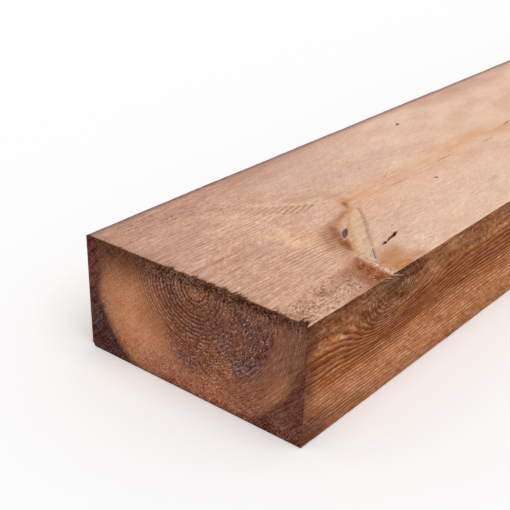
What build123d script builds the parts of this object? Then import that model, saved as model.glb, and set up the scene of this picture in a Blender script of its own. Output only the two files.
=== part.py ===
from build123d import *
import os

# Sawn softwood railway sleeper of the landscaping kind, cut from one log: one piece, one solid.
# X runs along the length, and the end with the spike knot is the -X one, called the near end here.
# Y runs across the width: seen from the near end, +Y is the left side and -Y the right side.
# Z is up, and the origin is the middle of the underside.

# Sawn section and length
sleeper_length = 2400
section_width = 195
section_height = 90

# The four edges along the length
top_left_radius = 2
top_right_radius = 1
bottom_right_radius = 1
worn_edge_rise = 3.6  # lower left edge, knocked back up the side
worn_edge_run = 2.2  # the same edge, in along the underside

# Bark slit beside the knot, a narrow V between two growth rings
slit_length = 26
slit_width = 2.4
slit_depth = 7
slit_floor_length = 18
slit_floor_width = 0.8
slit_from_near_end = 141.5
slit_from_right_side = 32
slit_angle = 10

# Bark pocket along the knot, a shallow boat-shaped hollow
pocket_length = 26
pocket_width = 5
pocket_depth = 3.5
pocket_floor_length = 14
pocket_floor_width = 2
pocket_from_near_end = 127
pocket_from_right_side = 61
pocket_angle = 33

near_end_x = -sleeper_length / 2
right_side_y = -section_width / 2
slit_x = near_end_x + slit_from_near_end
slit_y = right_side_y + slit_from_right_side
pocket_x = near_end_x + pocket_from_near_end
pocket_y = right_side_y + pocket_from_right_side


# Outline of a split in the grain: two arcs that meet in a point at each end
def split_outline(length, width):
    tip = length / 2
    with BuildSketch() as outline:
        with BuildLine():
            SagittaArc((-tip, 0), (tip, 0), width / 2)
            SagittaArc((tip, 0), (-tip, 0), width / 2)
        make_face()
    return outline.sketch


with BuildPart() as sleeper:
    # Section at the near end, with its edges eased, sawn along the whole length
    with BuildSketch(Plane.YZ.offset(near_end_x)) as section:
        Rectangle(section_width, section_height, align=(Align.CENTER, Align.MIN))
        fillet(section.vertices().group_by(Axis.Y)[-1].sort_by(Axis.X)[-1], top_left_radius)
        fillet(section.vertices().group_by(Axis.Y)[-1].sort_by(Axis.X)[0], top_right_radius)
        fillet(section.vertices().group_by(Axis.Y)[0].sort_by(Axis.X)[0], bottom_right_radius)
        chamfer(
            section.vertices().group_by(Axis.Y)[0].sort_by(Axis.X)[-1],
            length=worn_edge_run,
            length2=worn_edge_rise,
            reference=section.edges().sort_by(Axis.Y)[0],
        )
    extrude(amount=sleeper_length)

    # Bark slit, sunk from the top face
    slit_mouth = Plane((slit_x, slit_y, section_height)).rotated((0, 0, slit_angle))
    with BuildSketch(slit_mouth):
        add(split_outline(slit_length, slit_width))
    with BuildSketch(slit_mouth.offset(-slit_depth)):
        add(split_outline(slit_floor_length, slit_floor_width))
    loft(mode=Mode.SUBTRACT)

    # Bark pocket, sunk from the top face
    pocket_mouth = Plane((pocket_x, pocket_y, section_height)).rotated((0, 0, pocket_angle))
    with BuildSketch(pocket_mouth):
        add(split_outline(pocket_length, pocket_width))
    with BuildSketch(pocket_mouth.offset(-pocket_depth)):
        add(split_outline(pocket_floor_length, pocket_floor_width))
    loft(mode=Mode.SUBTRACT)

sleeper.part.label = "sleeper"

os.makedirs("parts", exist_ok=True)
export_step(sleeper.part, "parts/sleeper.step")
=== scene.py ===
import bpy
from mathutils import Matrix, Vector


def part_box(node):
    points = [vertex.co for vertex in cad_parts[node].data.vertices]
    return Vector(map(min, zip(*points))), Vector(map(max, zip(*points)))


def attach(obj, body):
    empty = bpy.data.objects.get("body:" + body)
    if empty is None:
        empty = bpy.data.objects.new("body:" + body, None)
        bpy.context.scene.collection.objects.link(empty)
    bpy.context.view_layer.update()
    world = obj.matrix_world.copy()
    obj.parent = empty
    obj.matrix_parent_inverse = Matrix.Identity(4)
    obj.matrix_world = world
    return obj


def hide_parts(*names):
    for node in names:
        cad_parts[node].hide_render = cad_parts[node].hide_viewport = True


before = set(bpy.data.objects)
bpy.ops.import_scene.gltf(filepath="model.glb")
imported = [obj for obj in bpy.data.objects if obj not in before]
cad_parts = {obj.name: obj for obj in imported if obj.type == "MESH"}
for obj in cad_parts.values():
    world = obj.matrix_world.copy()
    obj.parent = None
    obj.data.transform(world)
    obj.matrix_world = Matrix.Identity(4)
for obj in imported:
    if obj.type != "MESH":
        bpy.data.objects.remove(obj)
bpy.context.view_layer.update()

import math

import bpy
import numpy as np
from mathutils import Euler, Matrix, Vector
from mathutils.geometry import delaunay_2d_cdt

barLow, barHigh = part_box("sleeper")
mm = 0.001
nearX = barLow.x  # the end with the spike knot
barLength = (barHigh.x - barLow.x) / mm
barHeight = (barHigh.z - barLow.z) / mm
halfWidth = (barHigh.y - barLow.y) / mm / 2
print("frame loaded: sleeper of", round(barLength), "x", round(2 * halfWidth), "x", round(barHeight), "mm")


def addObject(name, data):
    added = bpy.data.objects.new(name, data)
    bpy.context.scene.collection.objects.link(added)
    return added


# helpers for node trees

class Wire:  # a value on its way through a node tree, so that formulas read as formulas
    def __init__(self, tree, socket):
        self.tree = tree
        self.socket = socket

    def __add__(self, other):
        return calc("ADD", self, other)

    def __sub__(self, other):
        return calc("SUBTRACT", self, other)

    def __rsub__(self, other):
        return calc("SUBTRACT", other, self)

    def __mul__(self, other):
        return calc("MULTIPLY", self, other)

    def __truediv__(self, other):
        return calc("DIVIDE", self, other)

    __radd__ = __add__
    __rmul__ = __mul__


def feed(tree, value, socket):
    if isinstance(value, Wire):
        tree.links.new(value.socket, socket)
    else:
        socket.default_value = value


def addNode(kind, feeds, output=0, **settings):  # feeds: what goes into which socket, wires and values
    tree = next(value.tree for value in feeds.values() if isinstance(value, Wire))
    node = tree.nodes.new("ShaderNode" + kind)
    for name, value in settings.items():
        setattr(node, name, value)
    for key, value in feeds.items():
        feed(tree, value, node.inputs[key])
    return Wire(tree, node.outputs[output])


def calc(operation, *terms):
    return addNode("Math", dict(enumerate(terms)), operation=operation)


def vectorCalc(operation, *terms, output="Vector"):
    return addNode("VectorMath", dict(enumerate(terms)), output, operation=operation)


def ease(value, low, high):  # 0 below low, 1 above high, smooth between
    feeds = {"Value": value, "From Min": low, "From Max": high}
    return addNode("MapRange", feeds, "Result", interpolation_type="SMOOTHSTEP")


def stretch(vector, scale, shift=(0, 0, 0)):
    return vectorCalc("MULTIPLY_ADD", vector, scale, shift)


def dot(first, second):
    return vectorCalc("DOT_PRODUCT", first, second, output="Value")


def join(x, y, z):
    return addNode("CombineXYZ", dict(enumerate((x, y, z))))


def noise(vector, detail=2.0, roughness=0.5):  # centred on 0, mostly within half either way
    feeds = {"Vector": vector, "Scale": 1.0, "Detail": detail, "Roughness": roughness}
    return (addNode("TexNoise", feeds, "Fac") - 0.5) * 2


def patches(place, long, wide, shift=(0, 0, 0), detail=2.0, roughness=0.5):  # noise of that size in mm
    return noise(stretch(place, (1 / long, 1 / wide, 1 / wide), shift), detail, roughness)


def blend(factor, first, second):
    return addNode("Mix", {0: factor, 6: first, 7: second}, 2, data_type="RGBA")


def clamped(value):  # held between 0 and 1
    value.socket.node.use_clamp = True
    return value


def tone(red, green, blue):  # a colour as a picture shows it, from 0 to 255, as the shader wants it
    shares = [part / 255 for part in (red, green, blue)]
    return tuple(s / 12.92 if s <= 0.04045 else ((s + 0.055) / 1.055) ** 2.4 for s in shares) + (1.0,)


def tones(**colours):
    return {name: tone(*parts) for name, parts in colours.items()}


def newGroup(name, inputs, values, vectors=()):
    tree = bpy.data.node_groups.new(name, "ShaderNodeTree")
    for label, value in inputs.items():
        socket = tree.interface.new_socket(label, in_out="INPUT", socket_type="NodeSocketFloat")
        socket.default_value = value
    for label in (*vectors, *values):
        kind = "Vector" if label in vectors else "Float"
        tree.interface.new_socket(label, in_out="OUTPUT", socket_type="NodeSocket" + kind)
    entry = tree.nodes.new("NodeGroupInput")
    leave = tree.nodes.new("NodeGroupOutput")
    given = {label: Wire(tree, entry.outputs[label]) for label in inputs}
    return tree, given, leave.inputs


def useGroup(tree, group, **values):  # the group's outputs in their order
    node = tree.nodes.new("ShaderNodeGroup")
    node.node_tree = group
    for label, value in values.items():
        feed(tree, value, node.inputs[label])
    return [Wire(tree, socket) for socket in node.outputs]


def painted(tree, name):  # a mask that is painted on the mesh by formula
    node = tree.nodes.new("ShaderNodeAttribute")
    node.attribute_name = name
    return Wire(tree, node.outputs["Fac"])


# shared node groups

def makePlaceGroup():  # where a point lies: mm from the near end, the middle and the underside
    labels = ("Along", "Across", "Up")
    tree, _, out = newGroup("timberPlace", {}, labels, vectors=("Place",))
    coords = tree.nodes.new("ShaderNodeTexCoord")
    place = stretch(Wire(tree, coords.outputs["Object"]), (1 / mm,) * 3, (-nearX / mm, 0, 0))
    parts = tree.nodes.new("ShaderNodeSeparateXYZ")
    feed(tree, place, parts.inputs[0])
    feed(tree, place, out["Place"])
    for label, socket in zip(labels, parts.outputs):
        tree.links.new(socket, out[label])
    return tree


timberLog = dict(
    pithAcross=-5.6, pithUp=83.0, driftAcross=-2.6, driftUp=3.0, driftLength=120.0,
    swayAcross=2.0, swayUp=0.6, swayLength=310.0,
    ringPitch=3.25, crowding=((50.0, 0.27, 14.0), (88.0, 0.22, 6.0), (102.0, -0.24, 10.0)),
    waver=2.6, jitter=0.8, lateTo=0.86, earlyFrom=0.92,
    branchFrom=(170.0, -8.0, 90.0), branchTo=(97.0, -97.5, 75.5), branchFalloff=2.3,
    branchPull=8.5, branchReach=29.0, branchLag=18.0, branchPitch=2.1, branchFlat=1.4,
)


def makeRingGroup():  # growth rings of the log as a solid field that bends round the branch
    labels = ("Line", "Radius", "Dash", "Branch", "BranchLine", "Tone")
    tree, given, out = newGroup("growthRings", {"Sharp": 0.3}, labels)
    log = timberLog
    place, along, across, up = useGroup(tree, placeGroup)
    drift = 1 - calc("EXPONENT", along * (-1 / log["driftLength"]))
    sway = calc("SINE", along / log["swayLength"]) * drift * log["swayAcross"]
    fromPithY = across - drift * log["driftAcross"] - sway - log["pithAcross"]
    fromPithZ = up - drift * log["driftUp"] - sway * log["swayUp"] - log["pithUp"]
    radius = calc("SQRT", fromPithY * fromPithY + fromPithZ * fromPithZ)
    slow = patches(place, 240, 48, detail=1.0)
    quick = patches(place, 26, 6)
    wavy = radius + slow * log["waver"] * ease(radius, 4, 40) + quick * log["jitter"]

    fork = Vector(log["branchFrom"])
    heading = (Vector(log["branchTo"]) - fork).normalized()
    offset = stretch(place, (1, 1, 1), tuple(-fork))
    outward = dot(offset, heading)
    away = calc("SQRT", calc("MAXIMUM", dot(offset, offset) - outward * outward, 0.01))
    beyond = dot(offset, tuple(Vector((0, 0, 1)).cross(heading)))
    reach = ease(beyond, -5, 40) * log["branchLag"] + log["branchReach"]  # wider past the branch
    pull = calc("EXPONENT", calc("POWER", away / reach, log["branchFalloff"]) * -1) * ease(outward, -5, 25)
    grown = wavy - pull * log["branchPull"]
    count = grown / log["ringPitch"]
    for start, gain, soft in log["crowding"]:
        count = count + calc("SMOOTH_MAX", grown - start, 0.0, soft) * gain
    share = calc("FRACT", count)
    level = beyond * (1 - 1 / log["branchFlat"] ** 2)
    oval = calc("SQRT", calc("MAXIMUM", away * away - level * beyond, 0.01))  # the swirl is wider than high
    branchShare = calc("FRACT", (oval + quick * 0.9 + slow * 3) / log["branchPitch"])
    turn = calc("ARCTAN2", fromPithY, fromPithZ * -1)
    late = ease(share, given["Sharp"], log["lateTo"]) * (1 - ease(share, log["earlyFrom"], 1.0))
    dash = noise(join(radius / 1.5, turn * 11, along / 20), roughness=0.6)
    branchLine = ease(branchShare, 0.35, 0.7) * (1 - ease(branchShare, 0.8, 1.0))
    shade = addNode("TexWhiteNoise", {"W": calc("FLOOR", count)}, "Value", noise_dimensions="1D")
    for label, value in zip(labels, (late, wavy, dash, oval, branchLine, shade)):
        feed(tree, value, out[label])
    return tree


def makeFibreGroup():  # wood fibres along the piece: streaks on its long faces, specks on its ends
    tree, _, out = newGroup("sawnFibre", {}, ("Streak", "Hair", "Speckle", "Wool", "Fleck"))
    place = useGroup(tree, placeGroup)[0]
    feed(tree, patches(place, 70, 3.2, detail=3.0, roughness=0.6), out["Streak"])
    feed(tree, patches(place, 17, 1.0, roughness=0.6), out["Hair"])
    feed(tree, patches(place, 2.6, 1.5, (5.1, 2.7, 8.3), roughness=0.6), out["Speckle"])
    feed(tree, patches(place, 10, 5, (1.7, 6.2, 3.9), detail=4.0, roughness=0.68), out["Wool"])
    feed(tree, ease(patches(place, 6, 1.6, (7.3, 1.9, 4.2), detail=1.0), 0.22, 0.5), out["Fleck"])
    return tree


def makeMottleGroup():  # uneven take-up of the preservative, in clouds longer than they are wide
    tree, given, out = newGroup("preservativeMottle", {"Size": 60.0}, ("Cloud", "Patch"))
    place = stretch(useGroup(tree, placeGroup)[0], (0.45, 1, 1))
    place = vectorCalc("MULTIPLY", place, calc("DIVIDE", 1.0, given["Size"]))
    feed(tree, noise(place, detail=3.0, roughness=0.55), out["Cloud"])
    feed(tree, ease(noise(stretch(place, (2.6, 2.6, 2.6), (3.1, 8.4, 5.7))), -0.2, 0.32), out["Patch"])
    return tree


placeGroup = makePlaceGroup()
ringGroup = makeRingGroup()
fibreGroup = makeFibreGroup()
mottleGroup = makeMottleGroup()
print("shared node groups made")


# materials

woodSheen = 0.04  # specular level of dry sawn wood
longRough, endRough = 0.72, 0.78  # roughness along the grain and across it
fibreRough = 0.15  # how far it varies with the fibres
eyeGamma = 2.2
darkest = (0.2, 0.1, 0.05)  # fine grain makes nothing darker than this, as the eye sees it


def newMaterial(name):
    material = bpy.data.materials.new(name)
    material.use_nodes = True
    return material, material.node_tree, material.node_tree.nodes["Principled BSDF"]


def dress(shader, colour, rough, fibre):
    feed(colour.tree, colour, shader.inputs["Base Color"])
    feed(colour.tree, rough + fibre * fibreRough, shader.inputs["Roughness"])
    shader.inputs["Specular IOR Level"].default_value = woodSheen


def ragged(mask, grit, amount):  # a mask that is broken up by the grit of the face
    return clamped(mask * (1 + grit * amount))


def layered(colour, finish, covers):  # finishes laid over a colour one by one, each where its cover says
    for name, cover in covers:
        colour = blend(cover, colour, finish[name])
    return colour


def grained(colour, grain, depth):  # grain that changes the three channels alike, as the eye sees them
    seen = addNode("Gamma", {"Color": colour, "Gamma": 1 / eyeGamma})
    moved = vectorCalc("MULTIPLY_ADD", grain, (depth,) * 3, seen)
    return addNode("Gamma", {"Color": vectorCalc("MAXIMUM", moved, darkest), "Gamma": eyeGamma})


def addBump(shader, height, depth):  # depth in mm for a height of 1
    feed(height.tree, addNode("Bump", {"Height": height, "Distance": depth * mm}), shader.inputs["Normal"])


# colours of the top face, paler than the sides partly because the sawn top is drier and partly as a painted
# sheen of the overhead light
topFinishWithSheen = tones(
    near=(210, 168, 145), far=(232, 196, 172), dusk=(182, 139, 121), blush=(209, 160, 133),
    ring=(146, 92, 62), rust=(147, 81, 45), stain=(190, 132, 88), amber=(221, 164, 121),
    knot=(222, 184, 154), knotStreak=(202, 160, 131), rim=(206, 157, 108), seam=(157, 105, 76),
    bruise=(185, 167, 161), halo=(197, 158, 142), bark=(44, 28, 20), pale=(231, 191, 162),
    pit=(136, 83, 57), burr=(102, 65, 48), edge=(106, 74, 72), cool=(214, 183, 166),
    flush=(188, 143, 125), worn=(112, 74, 57),
)


farFlecks = [  # marks beyond the knot: mm along and across, half length, half width, slope, weight
    (365, 68, 6, 2.2, 0.5, 1.0),
    (269, -29.5, 3.2, 1.8, 0.1, 0.9),
    (442, -6, 10, 1.3, 0.15, 0.9),
    (239, -12.5, 16, 0.7, -0.02, 0.6),
    (316, -11, 12, 0.8, -0.03, 0.75),
    (247, 5, 15, 0.6, 0.4, 0.45),
    (300, -65, 11, 3.5, 0.1, 0.25),
    (243, 29, 2.0, 1.2, 0.3, 0.7),
    (250, 46, 4.5, 1.0, 0.6, 0.35),
    (260, -68, 1.6, 1.0, 0.2, 0.5),
    (385, -16, 14, 1.0, 0.0, 0.55),
]


def makeTopMaterial():
    material, tree, shader = newMaterial("sawnTop")
    finish = topFinishWithSheen
    place, along, across, _ = useGroup(tree, placeGroup)
    ring = useGroup(tree, ringGroup, Sharp=0.25)[0]
    streak, hair, speck, wool, fleck = useGroup(tree, fibreGroup)
    cloud, patch = useGroup(tree, mottleGroup, Size=70.0)
    mask = {name: painted(tree, name) for name in topMarks}
    torn = mask["torn"]
    knotGrain = noise(join((along + across) / 30, (along - across) / 2.4, 0.0))
    slant = join((along * 0.84 + across * 0.54) / 13, (across * 0.84 - along * 0.54) / 2.4, 0.0)
    sawn = noise(slant)  # slanting saw marks
    grit = speck * 1.3 + wool * 0.55 + sawn * 0.7
    closeness = 1 - ease(along, 60, 230) * 0.5 - ease(along, 230, 450) * 0.25
    patchy = patches(place, 38, 12, (8.8, 3.3, 1.2), detail=3.0)

    # lighter towards the far end and the right: partly the face's own colour, partly a painted highlight
    fade = ease(along - across * 0.9 + cloud * 110, 20, 300)
    colour = layered(blend(fade, finish["near"], finish["far"]), finish, (
        ("dusk", ragged(mask["dusk"], cloud + grit, 0.9)),
        ("blush", patch * (0.42 - ease(across * -1, 15, 55) * 0.22)),
        ("pale", ragged(mask["pale"], patchy + grit * 0.3, 0.5)),
        ("amber", ragged(mask["amber"], patchy * 1.4 + cloud + grit * 0.6, 1.0)),
        ("cool", ragged(mask["cool"], patchy + cloud, 0.6)),
        ("flush", ragged(mask["flush"], patchy * 2 + grit, 0.6)),
        # painted shade in the small pits of the torn grain
        ("pit", ease(speck * 0.7 + wool + sawn * 1.5, 0.05, 0.8) * torn * 0.85),
        ("stain", ragged(mask["stain"], grit + patchy + hair * 1.6, 0.7)),
        ("rust", ragged(mask["rust"], grit * 1.2 + patchy + hair * 1.4, 1.0)),
        ("ring", ring * (mask["ribbed"] * 0.64 + 0.05) * (0.9 + grit * 0.7)),
        ("ring", mask["ridge"] * (0.9 + grit * 0.6)),
    ))
    knotColour = blend(ease(knotGrain, -0.1, 0.6) * 0.6, finish["knot"], finish["knotStreak"])
    colour = layered(blend(mask["knot"], colour, knotColour), finish, (
        ("rim", mask["rim"] * (0.8 + knotGrain * 0.5)),
        # the seam's first stroke is the knot's boundary, partly a painted shadow line along its raised
        # right edge
        ("seam", mask["seam"]),
        ("bruise", mask["bruise"] * (0.85 + knotGrain * 0.6)),
        ("halo", mask["halo"] * (0.85 + knotGrain * 0.6)),
        ("pale", mask["wedge"]),
        ("worn", ragged(mask["worn"], grit, 0.7)),
        # painted shade of the rounded left arris: a dark line along the top's left edge
        ("edge", mask["edge"] * (0.8 + speck * 0.8)),
        ("burr", ease(mask["burr"] + speck * 0.5, 0.3, 0.6)),
        # real bark in the pocket, and painted shade down the slit and the crack
        ("bark", ease(mask["bark"] + speck * 0.15, 0.25, 0.7)),
    ))
    for atAlong, atAcross, halfLength, halfWide, slope, weight in farFlecks:
        fromAlong, fromAcross = along - atAlong, across - atAcross
        long = (fromAlong + fromAcross * slope) / halfLength
        wide = (fromAcross - fromAlong * slope) / halfWide
        away = calc("SQRT", long * long + wide * wide) + grit * 0.25
        colour = blend((1 - ease(away, 0.4, 1.2)) * weight, colour, finish["seam"])
    rough = (0.41 + torn * 0.35 + mask["rust"] * 0.65) * (1 - mask["knot"] * 0.5)
    grain = (streak * 0.2 + hair * 0.78 + grit * rough - fleck * 0.12) * closeness
    dress(shader, grained(colour, grain, 0.3), longRough, streak)
    ribHeight = ring * (mask["ribbed"] + 0.05) * -0.8 - mask["ridge"]
    addBump(shader, ribHeight + hair * 0.35 + grit * (0.3 + torn * 1.2), 0.35)
    return material


sideFinish = tones(
    lowEarly=(202, 139, 96), lowLate=(140, 76, 38), highEarly=(191, 122, 76), highLate=(98, 42, 8),
    crown=(165, 109, 74), crownLate=(113, 66, 38), swirl=(112, 68, 41), swirlLine=(157, 108, 74),
    soak=(100, 56, 38), shade=(116, 62, 33), bruise=(84, 57, 42), pale=(207, 140, 91),
    rust=(110, 54, 36),
)


def makeSideMaterial():
    material, tree, shader = newMaterial("sawnSide")
    finish = sideFinish
    place, along, across, up = useGroup(tree, placeGroup)
    ring, _, _, branch, branchLine, _ = useGroup(tree, ringGroup, Sharp=0.2)
    streak, hair, speck, wool, _ = useGroup(tree, fibreGroup)
    cloud, _ = useGroup(tree, mottleGroup, Size=55.0)
    mask = {name: painted(tree, name) for name in sideMarks}
    dash = patches(place, 16, 2.4, (2.3, 9.1, 4.4), detail=3.0, roughness=0.65)
    girth = up + across + halfWidth  # height on the right side, and on across the underside
    slant = join((along * 0.8 - girth * 0.6) / 14, (along * 0.6 + girth * 0.8) / 2.4, 0.0)
    sawn = noise(slant)  # slanting saw marks
    grit = speck + wool + dash * 0.7 + sawn * 0.5
    line = ring * (0.93 + grit * 1.1)
    patchy = patches(place, 34, 7, (6.1, 4.8, 2.2), detail=3.0)

    lowness = 1 - ease(up + cloud * 14, 24, 48)
    low = blend(clamped(line * (0.5 + patchy * 0.6 + sawn * 0.6)), finish["lowEarly"], finish["lowLate"])
    high = blend(line, finish["highEarly"], finish["highLate"])
    colour = blend(lowness, high, low)
    crown = blend(ease(streak + cloud + wool * 0.5, -0.4, 0.6), finish["crown"], finish["crownLate"])
    colour = blend(ease(up + cloud * 12, 62, 78) * 0.95, colour, crown)
    swirl = 1 - ease(branch + cloud * 8 + wool * 4, 15, 27)
    bowl = 0.3 + ease(up + cloud * 5, 66, 82) * -0.25 + ease(up, 56, 66) * 0.6
    arcs = clamped(branchLine * ease(branch, 3, 8) * bowl * (1 + grit * 0.8 + patchy))
    colour = blend(swirl * 0.85, colour, blend(arcs, finish["swirl"], finish["swirlLine"]))
    colour = layered(colour, finish, (
        ("shade", ragged(mask["shade"] * (0.4 + line * 0.9), grit + patchy, 0.9)),
        ("pale", ragged(mask["pale"], grit, 0.5)),
        # preservative soaked in at the near end, and a painted contact shadow along the foot
        ("soak", ragged(mask["soak"], grit, 0.6)),
        ("bruise", ragged(mask["bruise"], grit, 0.6)),
        ("rust", ragged(mask["rust"], grit, 0.4)),
    ))
    grain = streak * 0.2 + hair * 0.7 + grit * 0.9 + patchy * 0.3 + sawn * lowness * 0.4
    dress(shader, grained(colour, grain, 0.225), longRough, streak)
    addBump(shader, line * -0.6 + hair * 0.5 + grit * 0.4, 0.4)
    return material


endFinish = tones(
    tan=(205, 140, 99), russet=(169, 106, 81), heart=(92, 62, 64), brownHeart=(136, 88, 71),
    ring=(70, 33, 16), fleck=(186, 140, 116), core=(165, 106, 74), warm=(138, 89, 70),
    ember=(164, 102, 70), grey=(133, 93, 68), crown=(95, 59, 42),
    deepLeft=(80, 49, 43), deepRight=(106, 61, 49),
)


def makeEndMaterial():
    material, tree, shader = newMaterial("crossCutEnd")
    finish = endFinish
    _, along, across, up = useGroup(tree, placeGroup)
    ring, radius, dash, _, _, ringTone = useGroup(tree, ringGroup, Sharp=0.3)
    streak, _, speck, wool, _ = useGroup(tree, fibreGroup)
    cloud, patch = useGroup(tree, mottleGroup, Size=24.0)
    mask = {name: painted(tree, name) for name in endMarks}
    rise, fall = up - across, up + across
    nick = noise(join(rise / 3.6, fall / 1.3, along), roughness=0.6)  # saw marks on the slant
    drag = noise(join(rise / 30, fall / 2.2, 0.0))
    grit = speck + wool * 0.8 + nick * 0.6

    colour = blend(ragged(mask["russet"], cloud + grit, 0.7), finish["tan"], finish["russet"])
    colour = layered(colour, finish, (
        ("grey", ragged(mask["grey"], cloud + grit, 0.6)),
        ("warm", ragged(mask["warm"], cloud + grit, 0.6)),
    ))
    inner = blend(ragged(mask["violet"], cloud * 1.5 + grit, 0.9), finish["brownHeart"], finish["heart"])
    heart = ragged(mask["heart"] * 1.15, cloud * 1.2 + grit, 0.5)
    facing = ease(across + cloud * 20, -44, 2) * 0.7 + 0.3
    strong = (1 - ease(radius, 38, 64)) * ease(radius, 5, 10) * facing
    weight = strong * 0.92 + 0.2 + mask["lined"] * 0.35
    lines = ring * weight * (0.35 + ringTone * 0.6 + cloud + grit * 0.6 + nick + dash * 1.2)
    band = ease(radius, 30, 44) * (1 - ease(radius, 56, 68))
    colour = layered(blend(heart * 0.92, colour, inner), finish, (
        ("ember", ragged(patch * heart, grit + cloud, 0.9) * 0.22),
        ("ember", ragged(mask["ember"], cloud * 2 + grit, 0.9)),
        ("core", (1 - ease(radius + cloud * 8, 5, 15)) * 0.8),
        ("ring", clamped(lines)),
        ("ring", ease(dash * -1 + nick * 0.3, 0.1, 0.7) * heart * 0.55),
        ("fleck", ease(nick + speck * 0.5, 0.1, 0.55) * (heart * 0.12 + band * 0.45 + 0.06)),
        ("crown", ragged(mask["crown"] * 1.08, cloud + grit, 0.6)),
    ))
    lowLeft = ease(across, -20, 20) * (1 - ease(up + cloud * 8, 40, 52))
    deep = blend(lowLeft, finish["deepRight"], finish["deepLeft"])
    colour = blend(ragged(mask["deep"] * 1.4, cloud + grit * 0.6, 0.6), colour, deep)
    rough = 0.55 + heart * 0.6 + mask["crown"] * 0.6 + mask["russet"] * 0.85 - mask["deep"] * 0.5
    scored = drag * (0.4 + mask["deep"] * 0.5)
    scored = scored + dash * (0.15 + heart * 1.2 + mask["deep"] * 0.4 + mask["lined"] * 0.9)
    grain = (grit + nick * 0.7) * rough * 1.1 + scored + cloud * 0.7
    dress(shader, grained(colour, grain, 0.18), endRough, streak)
    addBump(shader, speck * 0.6 + nick * 0.7 + drag * 0.4 - ring * strong * 0.3, 0.4)
    return material


# painting, worked out in mm on arrays

def smooth(value, low, high):
    share = np.clip((value - low) / (high - low), 0, 1)
    return share * share * (3 - 2 * share)


latticeSize = 64


def softNoise(x, y, seed):  # seeded lattice noise between -1 and 1
    lattice = np.random.default_rng(seed).uniform(-1, 1, (latticeSize, latticeSize))
    cellX, cellY = np.floor(x).astype(int), np.floor(y).astype(int)
    shareX, shareY = smooth(x - cellX, 0, 1), smooth(y - cellY, 0, 1)
    value = 0
    for stepX, weightX in ((0, 1 - shareX), (1, shareX)):
        for stepY, weightY in ((0, 1 - shareY), (1, shareY)):
            corner = lattice[(cellX + stepX) % latticeSize, (cellY + stepY) % latticeSize]
            value = value + corner * weightX * weightY
    return value


def curveThrough(path, pieces=5):  # a smooth run of points through the given ones, widths and all
    points = np.array(path, dtype=float)
    if len(points) < 3:
        return points
    padded = np.vstack([2 * points[0] - points[1], points, 2 * points[-1] - points[-2]])
    run = []
    for before, start, end, after in zip(padded, padded[1:], padded[2:], padded[3:]):
        for t in np.linspace(0, 1, pieces, endpoint=False):
            bend = 2 * start + (end - before) * t + (2 * before - 5 * start + 4 * end - after) * t ** 2
            run.append((bend + (3 * start - before - 3 * end + after) * t ** 3) / 2)
    return np.vstack(run + [points[-1]])


def brush(a, b, path, soft=1.0, weight=1.0):  # path: places with the half width there
    mask = np.zeros(a.shape)
    run = curveThrough(path)
    reach = run[:, 2].max() + soft
    low, high = run[:, :2].min(0) - reach, run[:, :2].max(0) + reach
    near = (a > low[0]) & (a < high[0]) & (b > low[1]) & (b < high[1])
    nearA, nearB = a[near], b[near]
    best = np.zeros(nearA.shape)
    for start, end in zip(run, run[1:]):
        step = end[:2] - start[:2]
        share = np.clip(((nearA - start[0]) * step[0] + (nearB - start[1]) * step[1]) / (step @ step), 0, 1)
        away = np.hypot(nearA - start[0] - share * step[0], nearB - start[1] - share * step[1])
        half = np.maximum(start[2] + (end[2] - start[2]) * share, 0.05)
        best = np.maximum(best, 1 - smooth(away, half - soft, half + soft))
    mask[near] = best * weight
    return mask


def paint(a, b, strokes):  # strokes: softness, weight, then the path
    mask = np.zeros(a.shape)
    for soft, weight, *path in strokes:
        mask = np.maximum(mask, brush(a, b, path, soft, weight))
    return mask


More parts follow.
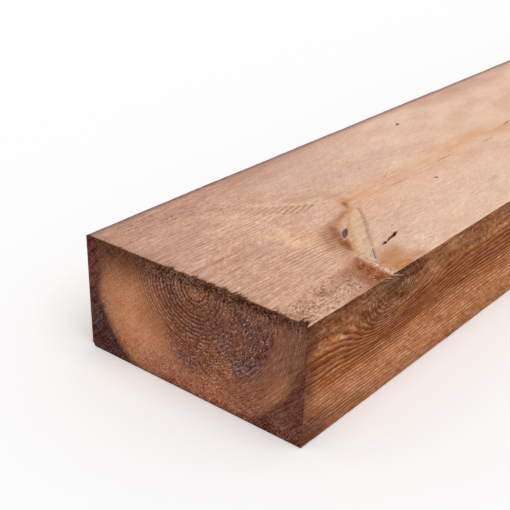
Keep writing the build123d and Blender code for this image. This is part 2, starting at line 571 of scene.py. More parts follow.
# strokes on the top face: softness, weight, then places by mm from the near end, mm across and half width
topMarks = dict(
    dusk=[
        (22, 0.7, (-20, 78, 30), (60, 82, 22), (130, 96, 6)),
        (9, 0.45, (-10, -5, 10), (60, -8, 9)),
        (12, 0.5, (44, 88, 8), (72, 72, 12), (92, 54, 6)),
        (6, 0.4, (90, 92, 4), (600, 93, 3), (2405, 93, 3)),
        (16, 0.45, (102, 84, 8), (128, 72, 10), (150, 62, 6)),
        (12, 0.75, (110, 92, 8), (150, 88, 10), (205, 90, 9), (260, 93, 7)),
        (14, 0.6, (136, 74, 10), (180, 70, 13), (240, 76, 9)),
        (14, 0.6, (-10, 42, 16), (30, 42, 16), (70, 50, 10)),
    ],
    pale=[
        (7, 0.5, (84, 58, 8), (89, 15, 9), (91, -40, 8)),
        (1.3, 0.5, (97.5, 46, 3.5), (98.5, -28, 3.5)),
        (4, 0.5, (114, 50, 2), (137, 28, 3), (155, 14, 2)),
        (8, 0.6, (64, 32, 7), (100, 32, 9), (132, 26, 7)),
        (8, 0.85, (90, -16, 7), (93, -32, 8), (90, -48, 6)),
    ],
    amber=[
        (9, 0.6, (174, -1, 6), (192, -4, 10), (215, -5, 10), (240, -4, 8)),
        (8, 0.55, (232, -4, 7), (270, -4, 8), (310, -3, 7), (335, -3, 6)),
        (9, 0.8, (325, -2, 6), (350, 0, 9), (385, -3, 10), (420, -8, 7), (450, -8, 4)),
        (9, 0.45, (430, -11, 6), (900, -6, 7), (1500, -12, 6), (2405, -8, 7)),
        (9, 0.22, (82, 8, 6), (90, -10, 9), (94, -24, 7)),
        (14, 0.3, (172, -20, 10), (280, -20, 12), (340, -18, 8)),
        (22, 0.18, (-5, -66, 26), (90, -66, 26)),
        (8, 0.4, (100, -12, 6), (106, -24, 7), (96, -40, 7), (90, -56, 8), (88, -66, 6)),
    ],
    cool=[
        (5, 0.6, (141, -79, 3), (153, -77, 3)),
        (16, 0.75, (150, 62, 8), (190, 60, 14), (228, 70, 12), (262, 72, 12), (288, 64, 8)),
        (14, 0.4, (150, 34, 10), (230, 32, 13), (300, 34, 12)),
    ],
    flush=[
        (6, 0.6, (90, 93, 2), (150, 91, 4), (300, 93, 3), (700, 93, 3), (2405, 93, 3)),
        (12, 0.55, (420, 86, 6), (480, 84, 9), (640, 88, 5)),
        (12, 0.4, (150, 88, 3), (168, 76, 3)),
    ],
    ribbed=[
        (7, 0.42, (-5, 28, 17), (62, 27, 17), (84, 26, 14)),
        (6, 0.4, (-5, -44, 18), (50, -44, 20), (96, -44, 18)),
        (8, 0.6, (70, -43, 16), (100, -44, 15)),
        (5, 0.3, (100, 32, 10), (120, 28, 6)),
        (5, 0.8, (118, -25, 4), (111, -35, 7), (104, -46, 7)),
        (10, 0.12, (180, -10, 10), (330, -14, 14)),
    ],
    ridge=[],
    torn=[
        (8, 1.0, (0, -84, 12), (40, -85, 13), (75, -84, 15), (90, -90, 12)),
        (14, 0.3, (5, 80, 14), (60, 78, 10), (86, 60, 8)),
    ],
    stain=[
        (9, 1.0, (107, -80, 3), (114, -83, 7), (122, -81, 7), (131, -77, 3)),
        (7, 1.0, (104, -80, 4), (109, -89, 9), (113, -98, 11)),
        (9, 0.65, (104, -88, 5), (122, -91, 7), (136, -95, 5)),
        (10, 0.2, (172, -92, 5), (190, -86, 9), (210, -88, 6)),
        (6, 0.4, (146, 30, 3), (158, 24, 5), (178, 12, 3)),
        (5, 0.7, (165, -12, 3), (171, -6, 4), (177, -1, 3)),
        (5, 0.8, (167, -13, 2), (156, -15.6, 2.5), (145, -18.6, 3.4), (135, -21.6, 4.2),
         (126, -25.5, 4.6)),
        (9, 0.16, (166, -11, 2), (146, -15, 5), (126, -21, 7), (112, -29, 6)),
        (7, 0.36, (134, -22, 3), (118, -33, 6), (107, -46, 5), (101, -57, 4)),
    ],
    rust=[
        (4, 0.4, (160, -15, 0.8), (144, -19, 1.4), (130, -24, 2.4), (122, -30, 3.0)),
        (4, 1.0, (127, -26.5, 2.4), (121, -33, 3.6), (115.5, -41, 4.4), (111, -48.5, 4.0),
         (106, -55.5, 2.0)),
        (8, 0.24, (132, -24, 3), (117, -34, 6), (107, -45, 6), (99, -56, 4)),
        (2.2, 0.85, (166.5, -11.0, 0.9), (169.5, -8.0, 1.7), (172.0, -4.5, 1.4)),
        (5, 1.0, (97, -67, 1.5), (91.5, -75, 5.5), (87, -84, 8), (85, -99, 8)),
        (9, 0.65, (96, -66, 1.5), (87, -77, 8), (82, -88, 12), (79, -99, 12)),
        (6, 0.4, (48, -98, 2), (64, -97, 4), (80, -96, 5)),
        (7, 0.55, (80, -75, 6), (66, -77, 5), (52, -80, 3)),
        (4, 0.8, (42, -79, 2.0), (40, -82, 2.2)),
        (1.0, 0.4, (171, 9, 0.4), (192, 8.6, 0.3)),
    ],
    knot=[
        (0.8, 1.0, (168, -18, 0.6), (160, -25, 3.2), (147.5, -33, 5.4), (135, -43.5, 6.0),
         (122.5, -55, 6.1), (110, -66, 6.0), (103, -74, 4.2), (99, -81, 1.5)),
    ],
    rim=[
        (1.3, 0.9, (163, -17.8, 0.5), (147.5, -25.2, 0.9), (135, -35.5, 1.1), (127, -42.5, 1.2),
         (118, -49.5, 1.4), (110, -57.5, 1.8), (104, -64, 2.6)),
        (3, 0.55, (111, -59, 2.4), (104, -67, 3.4)),
    ],
    seam=[
        # the knot's right edge: its boundary and a painted shadow line
        (2.2, 0.7, (171, -18.5, 0.8), (160, -30.5, 1.1), (147.5, -41.5, 1.2), (135, -51.5, 0.9),
         (121, -64.5, 0.6)),
        (0.6, 0.5, (119, -67.3, 0.3), (129, -67.5, 0.3)),
        (1.6, 0.6, (102.5, -70, 0.4), (100.4, -74.5, 1.0), (100.4, -78.5, 1.3), (101, -82, 0.8)),
        (0.8, 0.3, (156, -62.6, 0.3), (182, -62.8, 0.2)),
    ],
    bruise=[
        (1.6, 0.9, (118, -65.5, 0.8), (108, -74, 2.6), (103, -79, 1.8)),
        (1.3, 0.35, (155, -34, 0.4), (140, -45, 0.8), (124, -58.5, 0.6)),
    ],
    halo=[(1.2, 0.85, (116.5, -43.5, 0.5), (122, -39.8, 2.2), (128, -36, 2.8), (134, -32.6, 2.4),
           (140, -29.6, 0.5))],
    wedge=[(0.9, 0.75, (99, -79, 0.3), (97.2, -87, 1.3), (95.4, -98.5, 2.2))],
    bark=[
        (1.1, 0.56, (119.5, -41.2, 0.5), (123, -39, 2.0), (128, -36, 2.7), (132.5, -33.6, 1.9),
         (136, -31.8, 0.4)),
        # painted shade down the slit
        (0.6, 1.0, (129, -67.6, 0.4), (132.5, -66.9, 1.2), (137, -66, 1.1), (139.5, -65.5, 0.6),
         (143, -65, 1.3), (148, -64.2, 1.5), (153, -63.1, 1.0), (156, -62.6, 0.2)),
        # painted shade down the crack
        (0.5, 0.75, (119, -65.8, 0.3), (113, -70.7, 0.5), (107, -76.3, 0.5)),
    ],
    # painted shade along the rounded left arris of the top
    edge=[(2.0, 1.0, (-5, 97, 3.6), (200, 97, 3.4), (600, 97, 3.4), (2405, 97, 3.0))],
    worn=[
        (4, 0.55, (-1, 99, 2.6), (-1, 40, 3.2), (-1, -98, 3.2)),
        (10, 0.18, (-1, 99, 7), (-1, 40, 8), (-1, -98, 7)),
    ],
    burr=[(1.6, 1.0, (-1, 99, 1.6), (-1, 60, 1.6), (-1, 30, 2.0), (-1, -40, 2.4), (-1, -98, 1.5))],
)
for step in range(10):  # short ridges that the saw left where the grain dips, staggered in a slanting row
    middle = (109 + 4.0 * step, 39 - 3.3 * step)
    tilt = 1.0 + 0.12 * step
    topMarks["ridge"].append((0.9, 0.7 + 0.05 * step, (middle[0] - 9, middle[1] - tilt, 0.3),
                              (middle[0] + 8, middle[1] + tilt, 0.6)))
for step in range(13):  # brown strokes in the stain beside the bark pocket
    middle = (132 - 2.6 * step, -19 - 2.2 * step)
    reach = 12 + 5 * math.sin(step * 2.4)
    topMarks["ridge"].append((0.8, 0.7, (middle[0] - reach, middle[1] + 0.8, 0.2),
                              (middle[0] + 2, middle[1], 0.6)))
for across, weight in ((2.0, 0.5), (-8.5, 0.35), (-16.0, 0.28)):  # faint lines along the grain near the end
    topMarks["ridge"].append((1.5, weight, (5, across, 0.5), (34, across - 0.8, 0.9), (76, across, 0.3)))

# strokes on the right side: softness, weight, then places by mm from the near end, mm up and half width
sideMarks = dict(
    bruise=[
        (4, 0.7, (76, 89, 2), (94, 86, 4), (112, 88, 2)),
        (7, 0.5, (80, 86, 4), (106, 84, 8), (130, 86, 4)),
    ],
    shade=[
        (6, 0.95, (46, 59, 2), (66, 53, 4), (86, 47, 6), (110, 45, 7), (138, 50, 4)),
        (4, 0.7, (128, 54, 2), (137, 62, 3), (141, 72, 3), (137, 82, 2)),
        (5, 1.0, (146, 53, 4), (168, 58, 8), (200, 58, 9), (240, 56, 9), (300, 55, 9)),
        (4, 0.6, (172, 75, 2), (184, 73, 2), (196, 76, 1)),
        (5, 0.45, (0, 40, 3), (40, 36, 2), (60, 38, 1)),
        (7, 0.9, (-4, 52, 6), (30, 54, 7), (56, 52, 8), (76, 42, 8)),
        (4, 1.0, (114, 50, 5), (126, 54, 6), (138, 60, 6), (150, 66, 5)),
        (5, 1.0, (154, 66, 4), (170, 69, 6), (184, 68, 5), (196, 64, 3)),
        (6, 0.8, (124, 50, 6), (156, 50, 7), (214, 50, 5)),
        (12, 0.55, (-5, 14, 12), (22, 12, 10), (60, 8, 5)),
        (8, 0.5, (300, 60, 4), (700, 62, 6), (1500, 58, 5), (2405, 61, 6)),
    ],
    soak=[
        (11, 0.85, (-4, 5, 18), (18, 5, 10)),
        (4, 0.95, (-1, -5, 3.5), (-1, 84, 3)),
        (4, 0.25, (-4, 90, 4), (62, 89, 3)),
        (7, 0.5, (-1, 68, 3), (2, 45, 7), (0, 20, 8)),
        # painted contact shadow along the foot of the side, the whole length
        (1.6, 0.6, (-5, 0, 1.2), (2405, 0, 1.2)),
        (7, 0.26, (-5, 2, 7), (60, 3, 9), (110, 3, 9), (300, 2, 7), (2405, 2, 7)),
        (9, 0.9, (-2, 90, 14), (-2, 74, 13)),
        (8, 0.66, (-2, 70, 6), (-2, 58, 8), (-2, 52, 13), (-2, 44, 12), (-2, 36, 5)),
        (8, 0.7, (-3, 24, 6), (6, 14, 10), (14, 9, 10)),
    ],
    pale=[
        (3, 0.6, (4, 68, 2.0), (22, 68.5, 2.5), (38, 66, 1.0)),
        (2.4, 0.6, (168, 71, 1.0), (190, 72, 1.6), (215, 69, 1.4), (270, 70, 1.4)),
        (4, 0.45, (142, 69, 2), (156, 70, 4), (170, 66, 2)),
        (8, 0.12, (8, 78, 5), (30, 78, 6), (55, 76, 4)),
        (8, 0.15, (172, 84, 5), (200, 84, 7), (245, 84, 5)),
    ],
    rust=[
        (2.0, 0.8, (118, 90, 1.6), (123, 84, 2.0), (131, 76, 0.8)),
        (1.6, 0.6, (126, 89, 1.0), (134, 80, 0.6)),
        (3.5, 0.55, (104, 49, 1.0), (120, 52, 2.0), (132, 57.5, 2.4), (142, 65, 1.6), (147, 72, 0.6)),
        (2.4, 0.45, (118, 47, 0.8), (136, 52.5, 1.6), (150, 60, 1.4), (160, 65, 0.6)),
    ],
)

# the near end is painted by distance from the pith and from its edges
endMarks = ("heart", "warm", "grey", "russet", "crown", "deep", "lined", "violet", "ember")
endBlots = dict(  # softness, weight, then places by mm across, mm up and half width
    violet=[
        (9, 1.0, (-47, 75, 9), (-57, 63, 14), (-57, 48, 13), (-45, 34, 9)),
        (6, 0.8, (15, 73, 4), (11, 63, 5)),
        (7, 0.4, (5, 50, 5), (-3, 40, 6)),
        (7, 0.9, (26, 27, 7), (8, 22, 8), (-10, 25, 8)),
        (6, 0.6, (-20, 76, 6), (-31, 70, 5), (-30, 55, 4)),
        (7, 0.85, (-40, 60, 5), (-48, 52, 7)),
    ],
    ember=[
        (6, 0.5, (-31, 80, 3), (-36, 68, 4)),
        (6, 0.75, (-18, 44, 3), (-27, 35, 5), (-35, 29, 4)),
        (9, 0.5, (34, 66, 9), (40, 50, 10), (30, 40, 6)),
        (7, 0.45, (14, 62, 5), (14, 48, 7), (-4, 38, 6), (-16, 38, 5)),
        (7, 0.45, (-14, 24, 5), (-26, 20, 6), (-34, 14, 5)),
        (5, 0.45, (-12, 82, 3), (-18, 80, 4)),
        (5, 0.5, (-52, 83, 3), (-64, 84, 3)),
        (6, 0.5, (-74, 42, 3), (-66, 30, 4), (-40, 18, 5), (-18, 15, 4)),
    ],
)


def endMasks(y, z):
    fromPithY, fromPithZ = y - timberLog["pithAcross"], z - timberLog["pithUp"]
    reach = np.maximum(np.hypot(fromPithY, fromPithZ), 1.0)
    toLeft = smooth(fromPithY / reach, 0.1, 0.9)
    rightward = -fromPithY / reach
    toRight = smooth(rightward, 0.5, 0.85)
    heartEdge = 65 + 3 * toRight - 30 * toLeft
    deepEdge = np.where(y > 0, 102.5, 94)
    leftStrip = 16 + 5 * smooth(z, 52, 64)
    crownDepth = 9 + 15 * smooth(y, 10, 60)
    lowRusset = (1 - smooth(z, 4, 38)) * (1 - 0.6 * smooth(y, 15, 62))
    return dict(
        heart=1 - smooth(reach, heartEdge - 12 + 8 * toRight, heartEdge + 10 - 6 * toRight + 14 * toLeft),
        warm=smooth(rightward, 0.2, 0.6) * smooth(reach, 60, 68) * (1 - smooth(reach, 78, 94)) * 0.85,
        grey=smooth(-y, 75, 86) * smooth(z, 24, 56) * 0.9 + smooth(y, 58, 90) * smooth(z, 12, 40) * 0.4,
        russet=np.maximum(lowRusset, smooth(reach, 82, 106) * 0.8),
        crown=np.maximum(1 - smooth(barHeight - z, 1.0, crownDepth * 1.5), 0.55 - 0.55 * smooth(z, 0, 7)),
        lined=smooth(-y, 28, 62) * smooth(reach, 56, 66) * (1 - smooth(reach, 90, 98)),
        violet=np.maximum(paint(y, z, endBlots["violet"]), 0.5 * smooth(-y, -15, 30)),
        ember=paint(y, z, endBlots["ember"]),
        deep=np.maximum(smooth(reach, deepEdge - 8, deepEdge + 5) * (0.8 + 0.2 * smooth(z, 2, 16)),
                        1 - smooth(halfWidth - y, 5, leftStrip)),
    )


topMaterial = makeTopMaterial()
sideMaterial = makeSideMaterial()
endMaterial = makeEndMaterial()
print("bar materials made")


# the sawn bar

barShape = dict(
    topLeftRadius=1.2, topRightRadius=1.0, bottomRightRadius=1.0, arcSteps=3,
    wornRise=3.6, wornRun=2.2, wornBulge=0.45, wornFacing=(0.85, -0.52),
    slit=[(128.7, -67.7, 0.2), (133, -66.9, 1.0), (139.5, -65.6, 0.7), (148, -64.2, 1.3),
          (155, -62.7, 0.2)], slitDepth=6.5,
    pocket=[(116, -43.8, 0.2), (122, -39.8, 1.6), (128, -36, 2.0), (138, -30, 0.2)], pocketDepth=0.9,
    crack=[(119, -65.8, 0.2), (107, -76.3, 0.7)], crackDepth=1.4,
    wedge=[(99.5, -77, 0.6), (96, -98.5, 1.6)], wedgeRise=0.5,
    lean=1.05, leanFrom=48.0, leanSpan=36.0, leanInner=55.0,
    bow=1.1, bowLength=130.0, bowFoot=20.0, nearDip=0.6,
    wave=0.15, ripple=0.06, fuzz=0.35, pitDepth=0.55, knotRise=0.3, ridgeDepth=0.35,
    nibbles=(0.08, 0.1, 0.16), endFuzz=0.16, endScore=0.1,
    topSteps=(2.8, 46, 1.3, -20, 0.62, -82, 1.0), sideStep=2.0, baseStep=9.0, leftStep=6.0,
    lengthSteps=(0, 1.0, 94, 0.65, 172, 1.2, 200), stepGrowth=1.07, longestStep=36.0,
)


def spaced(start, end, step):
    return np.linspace(start, end, max(2, round(abs(end - start) / step) + 1))


def inRuns(*marks):  # marks: place, then step and place in turn, for spacing that changes on the way
    runs = [spaced(start, end, step)[:-1] for start, step, end in zip(marks[::2], marks[1::2], marks[2::2])]
    return np.concatenate(runs + [[marks[-1]]])


def sectionLoop():  # points round the section in mm, with their outward normals and the face each is on
    shape = barShape
    pieces = []

    def flat(ys, zs, normal, face):
        size = max(np.size(ys), np.size(zs))
        ys, zs = np.broadcast_to(ys, size), np.broadcast_to(zs, size)
        pieces.append((ys, zs, np.full(size, normal[0]), np.full(size, normal[1]), [face] * size))

    def arc(y, z, radius, fromAngle, face):
        angles = np.radians(fromAngle + np.linspace(0, 90, shape["arcSteps"] + 2)[1:-1])
        outY, outZ = np.cos(angles), np.sin(angles)
        pieces.append((y + radius * outY, z + radius * outZ, outY, outZ, [face] * len(angles)))

    tl, tr, br = shape["topLeftRadius"], shape["topRightRadius"], shape["bottomRightRadius"]
    flat(inRuns(halfWidth - tl, *shape["topSteps"], -halfWidth + tr), barHeight, (0, 1), "top")
    arc(-halfWidth + tr, barHeight - tr, tr, 90, "top")
    flat(-halfWidth, spaced(barHeight - tr, br, shape["sideStep"]), (-1, 0), "right")
    arc(-halfWidth + br, br, br, 180, "bottom")
    flat(spaced(-halfWidth + br, halfWidth - shape["wornRun"], shape["baseStep"]), 0.0, (0, -1), "bottom")
    bulge = shape["wornBulge"]
    flat(halfWidth - shape["wornRun"] * bulge, shape["wornRise"] * bulge, shape["wornFacing"], "bottom")
    flat(halfWidth, spaced(shape["wornRise"], barHeight - tl, shape["leftStep"]), (1, 0), "left")
    arc(halfWidth - tl, barHeight - tl, tl, 0, "top")
    columns = [np.concatenate([piece[i] for piece in pieces]) for i in range(4)]
    return columns, np.array(sum((piece[4] for piece in pieces), []))


def stations():  # distances from the near end, close together round the knot
    shape = barShape
    marks = list(inRuns(*shape["lengthSteps"]))
    step = shape["lengthSteps"][-2]
    while marks[-1] < barLength - 1.6 * step:
        step = min(step * shape["stepGrowth"], shape["longestStep"])
        marks.append(marks[-1] + step)
    marks[-1] = barLength
    return np.array(marks)


def reliefOf(u, y, z, onTop, masks):  # mm outward from the sawn faces
    shape = barShape
    relief = shape["wave"] * softNoise(u / 46, (y + z) / 30, seed=3)
    relief = relief + shape["ripple"] * softNoise(u / 9, (y - z) / 5, seed=4)
    rough = shape["fuzz"] * softNoise(u / 2.1, y / 1.9, seed=5)
    rough = rough - shape["pitDepth"] * smooth(softNoise(u / 4.5, y / 3, seed=6), 0.1, 0.6)
    onlyTop = masks["torn"] * rough + masks["knot"] * shape["knotRise"]
    onlyTop -= masks["ridge"] * shape["ridgeDepth"]
    onlyTop += brush(u, y, shape["wedge"], soft=0.8) * shape["wedgeRise"]
    for name, soft in (("crack", 0.7), ("pocket", 1.0), ("slit", 0.5)):
        onlyTop -= brush(u, y, shape[name], soft) * shape[name + "Depth"]
    edgeY, edgeZ = halfWidth - np.abs(y), np.minimum(z, barHeight - z)
    arris = 1 - smooth(np.maximum(edgeY, edgeZ), 0.6, 3.0)
    always, slow, quick = shape["nibbles"]
    nibble = always + slow * softNoise(u / 17, y / 50, seed=7)
    nibble = nibble + quick * np.maximum(softNoise(u / 3.7, y / 50, seed=8), 0)
    return relief + np.where(onTop, onlyTop, 0) - arris * nibble


def leanOf(u, y, z):  # mm that the left side stands out, its top more than its foot
    shape = barShape
    lean = shape["lean"] * (z - shape["leanFrom"]) / shape["leanSpan"]
    bow = shape["bow"] * smooth(u, 0, shape["bowLength"]) - shape["nearDip"]
    outward = lean + bow * smooth(z, shape["bowFoot"], barHeight)
    return outward * smooth(y, shape["leanInner"], halfWidth)


def capEnd(points, ring, spacing, outward, seed):  # triangles that close one end, with points inside it
    loop = points[ring]
    gridY, gridZ = np.meshgrid(np.arange(-halfWidth + 2, halfWidth - 1.5, spacing),
                               np.arange(1.8, barHeight - 1.4, spacing))
    shake = np.random.default_rng(seed).uniform(-0.3, 0.3, (2, gridY.size)) * spacing
    inner = np.stack([gridY.ravel() + shake[0], gridZ.ravel() + shake[1]], -1)
    inner = inner[(inner[:, 0] < halfWidth - 5) | (inner[:, 1] > 6)]  # clear of the worn edge
    inner[:, 0] += leanOf(loop[0][0] - nearX / mm, inner[:, 0], inner[:, 1])
    outline = [Vector(point) for point in loop[:, 1:]]
    found = delaunay_2d_cdt(outline + [Vector(p) for p in inner], [], [list(range(len(ring)))], 1, 1e-5)
    y, z = inner.T
    rough = barShape["endFuzz"] * softNoise(y / 2.6, z / 2.6, seed)
    rough += barShape["endScore"] * softNoise((y + z) / 2.2, (y - z) / 30, seed + 1)
    added = np.column_stack([loop[0][0] + outward * rough, inner])
    lookup = np.concatenate([ring, len(points) + np.arange(len(inner))])
    faces = [[lookup[found[3][corner][0]] for corner in face] for face in found[2]]
    return added, [face[::-1] for face in faces] if outward < 0 else faces


bakeLayout = dict(  # in texels of a square map and mm to a texel, finest round the knot
    size=1024, gap=4, nearLength=400.0, strips=3, nearScale=0.745, farScale=1.7, endRow=772,
    nearEnd=0.5, farEnd=1.2,
)


def unrolled(us, around):  # map places of the long faces: the near part, then strips of the rest
    layout = bakeLayout
    breaks = [0, *np.searchsorted(us, np.linspace(layout["nearLength"], barLength, layout["strips"] + 1))]
    places = np.zeros((len(us) - 1, len(around) - 1, 4, 2))
    left = low = layout["gap"]
    for first, last in zip(breaks, breaks[1:]):
        scale = layout["farScale"] if first else layout["nearScale"]
        alongMap = left + (us[first:last + 1] - us[first]) / scale
        aroundMap = low + (around[-1] - around) / scale
        for corner, (row, column) in enumerate(((0, 0), (1, 0), (1, 1), (0, 1))):
            places[first:last, :, corner, 0] = alongMap[row:len(alongMap) - 1 + row, None]
            places[first:last, :, corner, 1] = aroundMap[None, column:len(around) - 1 + column]
        if first:
            low = aroundMap[0] + layout["gap"]
        else:
            left = alongMap[-1] + layout["gap"]
    return places.reshape(-1, 2)


def flatEnd(corners, outward):  # map places of an end, seen from outside
    layout = bakeLayout
    scale = layout["nearEnd"] if outward < 0 else layout["farEnd"]
    left = layout["gap"] if outward < 0 else 2 * layout["gap"] + 2 * halfWidth / layout["nearEnd"]
    return np.column_stack([left + (halfWidth + outward * corners[:, 1]) / scale,
                            layout["endRow"] + corners[:, 2] / scale])


def makeBar():
    (ys, zs, normalY, normalZ), faceOf = sectionLoop()
    us = stations()
    rows, columns = len(us), len(ys)
    u = np.repeat(us[:, None], columns, 1)
    y, z = np.tile(ys, (rows, 1)), np.tile(zs, (rows, 1))
    onTop, onRight = np.tile(faceOf == "top", (rows, 1)), np.tile(faceOf == "right", (rows, 1))
    masks = {name: np.zeros(u.shape) for name in (*topMarks, *sideMarks, *endMarks)}
    for name, strokes in topMarks.items():
        masks[name] = np.where(onTop, paint(u, y, strokes), masks[name])
    for name, strokes in sideMarks.items():
        masks[name] = np.where(onRight, paint(u, z, strokes), masks[name])
    for name, mask in endMasks(y, z).items():
        masks[name] = np.where((u == 0) | (u == barLength), mask, 0)

    relief = reliefOf(u, y, z, onTop, masks)
    relief *= 0.1 + 0.9 * smooth(np.minimum(u, barLength - u), -1, 2)  # calmer at the two ends
    outY = y + normalY * relief + leanOf(u, y, z)
    points = np.stack([nearX / mm + u, outY, z + normalZ * relief], -1).reshape(-1, 3)
    index = np.arange(rows * columns).reshape(rows, columns)
    beside = np.roll(index, -1, axis=1)
    polygons = np.stack([index[:-1], index[1:], beside[1:], beside[:-1]], -1).reshape(-1, 4).tolist()
    slots = np.tile(np.where(faceOf == "top", 0, 1), rows - 1).tolist()
    around = np.concatenate([[0], np.cumsum(np.hypot(np.roll(ys, -1) - ys, np.roll(zs, -1) - zs))])
    mapPlaces = [unrolled(us, around)]
    masks = {name: mask.reshape(-1) for name, mask in masks.items()}
    for ring, spacing, outward, seed in ((index[0], 2.0, -1, 11), (index[-1], 3.5, 1, 12)):
        added, faces = capEnd(points, ring, spacing, outward, seed)
        polygons += faces
        slots += [2] * len(faces)
        points = np.concatenate([points, added])
        mapPlaces.append(flatEnd(points[np.concatenate(faces)], outward))
        endPaint = endMasks(added[:, 1], added[:, 2])
        blank = np.zeros(len(added))
        masks = {name: np.concatenate([mask, endPaint.get(name, blank)]) for name, mask in masks.items()}

    mesh = bpy.data.meshes.new("sleeperBar")
    mesh.from_pydata((points * mm).tolist(), [], polygons)
    for material in (topMaterial, sideMaterial, endMaterial):
        mesh.materials.append(material)
    mesh.polygons.foreach_set("material_index", slots)
    mesh.polygons.foreach_set("use_smooth", [True] * len(polygons))
    bakeMap = mesh.uv_layers.new(name="OFBake")
    bakeMap.data.foreach_set("uv", (np.concatenate(mapPlaces) / bakeLayout["size"]).ravel())
    onEnd = np.zeros(len(points), dtype=int)
    onEnd[index[0]], onEnd[index[-1]] = 1, 2
    corners = np.zeros(len(mesh.edges) * 2, dtype=int)
    mesh.edges.foreach_get("vertices", corners)
    pairs = onEnd[corners.reshape(-1, 2)]
    sharp = mesh.attributes.new("sharp_edge", "BOOLEAN", "EDGE")
    sharp.data.foreach_set("value", (pairs[:, 0] > 0) & (pairs[:, 0] == pairs[:, 1]))
    for name, mask in masks.items():
        mesh.attributes.new(name, "FLOAT", "POINT").data.foreach_set("value", mask.astype(np.float32))
    mesh.update()
    triangles = sum(len(polygon) - 2 for polygon in polygons)
    print("bar made:", rows, "stations of", columns, "points,", triangles, "triangles")
    return addObject("sleeperBar", mesh)


bar = makeBar()
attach(bar, "root")
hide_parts("sleeper")


# loose fibres

def makeFibreMaterial(name, root, tip):
    material, tree, shader = newMaterial(name)
    hair = useGroup(tree, fibreGroup)[1]
    colour = blend(ease(painted(tree, "tipward") + hair * 0.5, 0.0, 1.0), root, tip)
    dress(shader, colour, longRough, hair)
    return material


fibreForm = dict(rings=(0.0, 0.4, 0.75), corners=3, taper=0.75, flatness=0.6)


def makeFibres(name, material, roots, headings, lengths, widths, bends):  # tapered splinters
    form = fibreForm
    sides = form["corners"]
    vertices, faces, tipward = [], [], []
    for root, heading, length, width, bend in zip(roots, headings, lengths, widths, bends):
        ahead = Vector(heading).normalized()
        side = ahead.cross(Vector((0, 0, 1))).normalized()
        lift = side.cross(ahead)
        base = len(vertices)
        for share in form["rings"]:
            middle = Vector(root) + ahead * length * share + lift * bend * share ** 2
            thick = width * (1 - share * form["taper"])
            for turn in range(sides):
                angle = turn * math.tau / sides
                around = side * math.cos(angle) + lift * form["flatness"] * math.sin(angle)
                vertices.append((middle + around * thick) * mm)
                tipward.append(share)
        vertices.append((Vector(root) + ahead * length + lift * bend) * mm)
        tipward.append(1.0)
        tip = len(vertices) - 1
        for turn in range(sides):
            first, second = base + turn, base + (turn + 1) % sides
            while first + sides < tip:
                faces.append((first, second, second + sides, first + sides))
                first, second = first + sides, second + sides
            faces.append((first, second, tip))
        faces.append(tuple(range(base + sides - 1, base - 1, -1)))
    mesh = bpy.data.meshes.new(name)
    mesh.from_pydata([tuple(v) for v in vertices], [], faces)
    mesh.update()
    mesh.materials.append(material)
    mesh.attributes.new("tipward", "FLOAT", "POINT").data.foreach_set("value", tipward)
    piece = addObject(name, mesh)
    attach(piece, "root")
    print(name, "made:", len(roots), "fibres")


burrShape = dict(
    tufts=240, fibres=5, fromAcross=96.0, toAcross=-96.5, shortest=0.8, longest=9.0, width=0.3, seed=21,
    root=tone(84, 55, 40), tip=tone(98, 63, 43), longShare=0.3, longGain=2.4, shortGain=0.8, mostGrown=0.8,
    deepest=4.0, sprawl=0.4, flexing=0.4, clumpLength=9.0, clumpSeed=23, clumpWidth=0.4,
)


def makeBurr():  # fibres that the cross-cut bent up over the top edge of the near end
    shape = burrShape
    tufts, count = shape["tufts"], shape["tufts"] * shape["fibres"]
    draw = np.random.default_rng(shape["seed"])
    hub = draw.uniform(shape["toAcross"], shape["fromAcross"], tufts)
    clump = softNoise(hub / shape["clumpLength"], np.zeros(tufts), shape["clumpSeed"])
    clump = np.clip(0.5 + 0.8 * clump, 0.1, 1)
    fromLeft = smooth(shape["fromAcross"] - hub, 10, 100)
    grow = clump * draw.uniform(0.1, 1.0, tufts) ** 1.3 * (0.25 + 0.75 * fromLeft)
    standing = draw.uniform(0, 1, tufts) < shape["longShare"]
    grow = np.minimum(grow * np.where(standing, shape["longGain"], shape["shortGain"]), shape["mostGrown"])
    depth = draw.uniform(0.0, 1.0, tufts) ** 2 * shape["deepest"]
    lean = draw.normal(0, shape["sprawl"], tufts)
    rise = draw.uniform(0, 0.7, tufts)
    ofTufts = (hub, grow, depth, lean, rise)
    hub, grow, depth, lean, rise = (np.repeat(each, shape["fibres"]) for each in ofTufts)
    across = hub + draw.normal(0, shape["clumpWidth"], count)
    across = np.clip(across, shape["toAcross"], shape["fromAcross"])
    growth = (shape["longest"] - shape["shortest"]) * grow
    lengths = shape["shortest"] + growth * draw.uniform(0.4, 1.0, count)
    roots = np.column_stack([nearX / mm + draw.uniform(-0.1, 0.3, count), across, barHeight - 0.1 - depth])
    lean = lean + draw.normal(0, 0.14, count)
    headings = np.column_stack([0.9 - 0.28 * depth, lean - 0.7, 0.2 + 0.5 * rise ** 1.5 + depth * 0.35])
    widths = shape["width"] * draw.uniform(0.5, 1.4, count)
    bends = draw.uniform(-0.25, 0.15, count) * lengths * shape["flexing"]
    material = makeFibreMaterial("endBurr", shape["root"], shape["tip"])
    makeFibres("endBurr", material, roots, headings, lengths, widths, bends)


makeBurr()

stubbleShape = dict(
    count=900, triesEach=12, along=(1, 100), across=(-96.5, 96.5), sunk=0.2,
    shortest=1.2, longest=4.5, width=0.3, lift=0.45, sprawl=0.4, flexing=0.5, seed=31,
    root=tone(140, 90, 64), tip=tone(222, 184, 158),
)


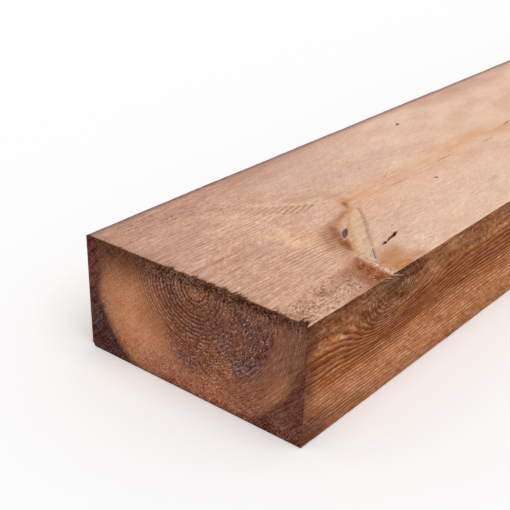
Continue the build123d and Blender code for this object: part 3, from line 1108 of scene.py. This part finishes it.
def makeStubble():  # short fibres torn up on the top where the saw met the dipping grain
    shape = stubbleShape
    draw = np.random.default_rng(shape["seed"])
    tries = shape["count"] * shape["triesEach"]
    along, across = draw.uniform(*shape["along"], tries), draw.uniform(*shape["across"], tries)
    chance = paint(along, across, topMarks["torn"]) * (1 - paint(along, across, topMarks["rust"])) ** 2
    kept = np.flatnonzero(draw.uniform(0, 1, tries) < chance)[:shape["count"]]
    count = len(kept)
    lengths = shape["shortest"] + (shape["longest"] - shape["shortest"]) * draw.uniform(0, 1, count) ** 2
    heights = np.full(count, barHeight - shape["sunk"])
    roots = np.column_stack([nearX / mm + along[kept], across[kept], heights])
    sideways = draw.normal(0, shape["sprawl"], count)
    upward = draw.uniform(0.05, shape["lift"], count)
    headings = np.column_stack([np.ones(count), sideways, upward])
    widths = shape["width"] * draw.uniform(0.5, 1.4, count)
    bends = draw.uniform(-0.5, 0.1, count) * lengths * shape["flexing"]
    material = makeFibreMaterial("tornStubble", shape["root"], shape["tip"])
    makeFibres("tornStubble", material, roots, headings, lengths, widths, bends)


makeStubble()

edgeSplinters = [  # pale splinters torn loose at the edge below the knot, in mm from the near end
    dict(root=(88.0, -97.7, 88.6), heading=(1, -0.06, -0.22), length=9.0, width=0.55, bend=-0.8),
    dict(root=(93.0, -97.9, 89.4), heading=(1, -0.07, -0.3), length=15.0, width=0.7, bend=-0.6),
    dict(root=(86.0, -97.5, 87.2), heading=(1, -0.03, -0.12), length=7.0, width=0.4, bend=-0.5),
]


def makeSplinters():
    material = makeFibreMaterial("paleSplinter", tone(206, 158, 122), tone(224, 180, 146))
    roots = [Vector(one["root"]) + Vector((nearX / mm, 0, 0)) for one in edgeSplinters]
    rest = [[one[key] for one in edgeSplinters] for key in ("heading", "length", "width", "bend")]
    makeFibres("edgeSplinters", material, roots, *rest)


makeSplinters()


# floor, light and camera

stageLook = dict(
    floorSize=14.0, floorDrop=0.0003, floorColour=0.82, floorSeen=1.0, ambient=0.56,
    keyStrength=1.5, keyTurn=(20, -14, 0), keySpread=60,
)


def makeStage():
    look = stageLook
    half = look["floorSize"] / 2
    mesh = bpy.data.meshes.new("paleFloor")
    corners = [(-half, -half, 0), (half, -half, 0), (half, half, 0), (-half, half, 0)]
    mesh.from_pydata(corners, [], [(0, 1, 2, 3)])
    floor = addObject("paleFloor", mesh)
    floor.location.z = barLow.z - look["floorDrop"]
    material, tree, shader = newMaterial("paleFloor")
    path = tree.nodes.new("ShaderNodeLightPath")
    seen = Wire(tree, path.outputs["Is Camera Ray"])
    grey = seen * (look["floorSeen"] - look["floorColour"]) + look["floorColour"]
    feed(tree, join(grey, grey, grey), shader.inputs["Base Color"])
    shader.inputs["Roughness"].default_value = 1.0
    shader.inputs["Specular IOR Level"].default_value = 0.0
    mesh.materials.append(material)

    world = bpy.data.worlds.new("studio")
    bpy.context.scene.world = world
    world.use_nodes = True
    tree = world.node_tree
    path = tree.nodes.new("ShaderNodeLightPath")
    camera, glossy, through = (
        Wire(tree, path.outputs[f"Is {kind} Ray"]) for kind in ("Camera", "Glossy", "Transmission"))
    seen = calc("MAXIMUM", calc("MAXIMUM", camera, glossy), through)
    back = tree.nodes["Background"]
    back.inputs["Color"].default_value = (1, 1, 1, 1)
    feed(tree, seen * (1 - look["ambient"]) + look["ambient"], back.inputs["Strength"])

    lamp = bpy.data.lights.new("keyLight", "SUN")
    lamp.energy = look["keyStrength"]
    lamp.angle = math.radians(look["keySpread"])
    key = addObject("keyLight", lamp)
    key.rotation_euler = Euler([math.radians(turn) for turn in look["keyTurn"]])


viewLook = dict(
    place=(-1.6373, -0.4028, 0.3936), aim=(-1.1454, -0.0118, 0.09), roll=1.66,
    lens=71.877, sensor=36.0, nearest=0.01,
)


def makeCamera():
    data = bpy.data.cameras.new("camera")
    data.lens = viewLook["lens"]
    data.sensor_width = viewLook["sensor"]
    data.clip_start = viewLook["nearest"]
    camera = addObject("camera", data)
    sight = Vector(viewLook["aim"]) - Vector(viewLook["place"])
    roll = Matrix.Rotation(math.radians(viewLook["roll"]), 3, "Z")
    turn = sight.to_track_quat("-Z", "Y").to_matrix() @ roll
    camera.matrix_world = Matrix.Translation(viewLook["place"]) @ turn.to_4x4()
    bpy.context.scene.camera = camera


makeStage()
makeCamera()
bpy.context.scene.view_settings.view_transform = "Standard"
print("stage and camera set")
